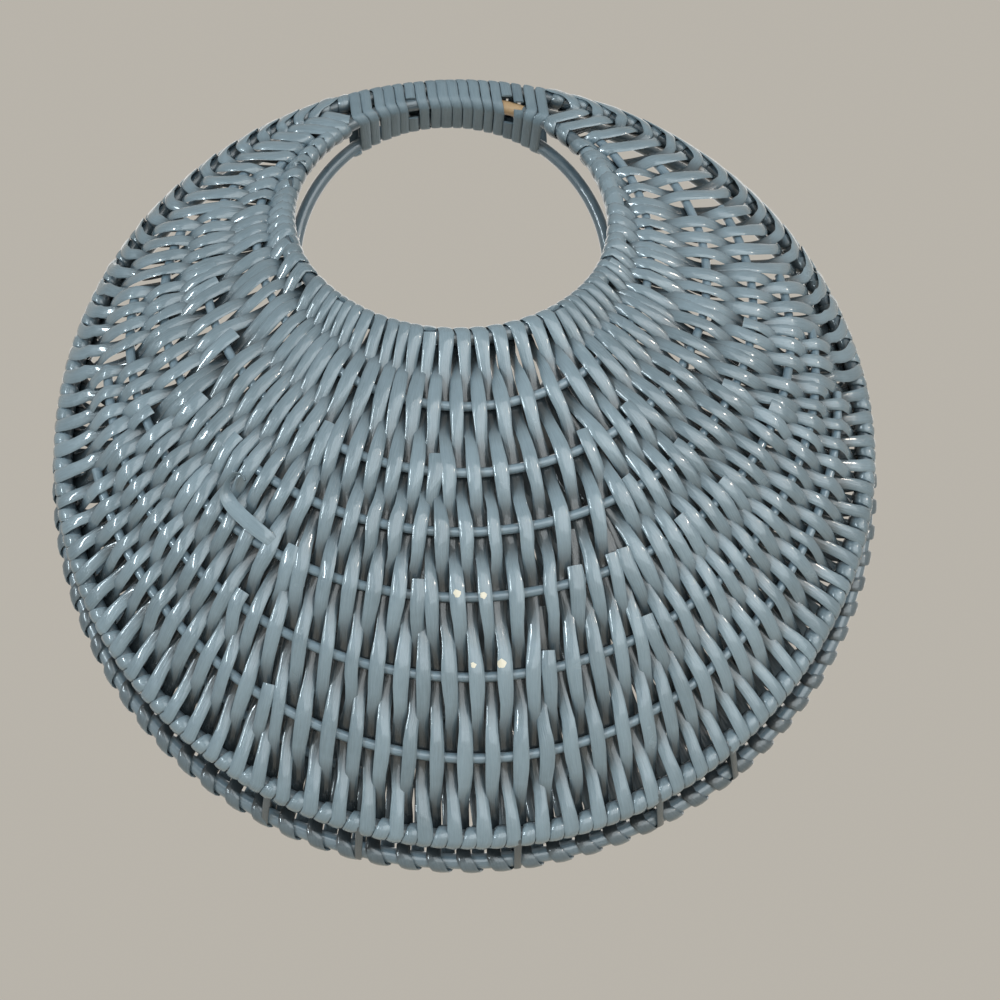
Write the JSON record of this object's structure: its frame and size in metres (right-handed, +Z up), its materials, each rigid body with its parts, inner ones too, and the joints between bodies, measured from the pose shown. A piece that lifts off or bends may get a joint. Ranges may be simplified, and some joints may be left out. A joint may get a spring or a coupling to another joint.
{
  "type": "wall pocket basket",
  "caption": "Round woven wall pocket basket with two bellied half panels, a round mouth and a cane-wrapped hanging handle.",
  "frame": {"origin": "hang point: underside of the wrapped handle at the middle of the basket, midway between the two hoops", "axes": "+Z up, +Y towards the wall behind the basket, +X to the right as seen from the room"},
  "size_m": [0.4084, 0.0985, 0.4076],
  "materials": {
    "cane": "gloss",
    "rods": "gloss"
  },
  "bodies": {
    "root": {"front_mouth_ring": "rods", "front_stave_1": "rods", "front_stave_2": "rods", "front_stave_3": "rods", "front_stave_4": "rods", "front_stave_5": "rods", "front_stave_6": "rods", "front_hoop": "rods", "front_weaver_1": "cane", "front_weaver_2": "cane", "front_weaver_3": "cane", "front_weaver_4": "cane", "front_weaver_5": "cane", "front_weaver_6": "cane", "front_weaver_7": "cane", "front_weaver_8": "cane", "back_mouth_ring": "rods", "back_stave_1": "rods", "back_stave_2": "rods", "back_stave_3": "rods", "back_stave_4": "rods", "back_stave_5": "rods", "back_stave_6": "rods", "back_hoop": "rods", "back_weaver_1": "cane", "back_weaver_2": "cane", "back_weaver_3": "cane", "back_weaver_4": "cane", "back_weaver_5": "cane", "back_weaver_6": "cane", "back_weaver_7": "cane", "back_weaver_8": "cane", "handle_wrap": "cane", "rim_lashing_1": "cane", "rim_lashing_2": "cane", "rim_lashing_3": "cane", "rim_lashing_4": "cane", "rim_lashing_5": "cane"}
  },
  "joints": []
}
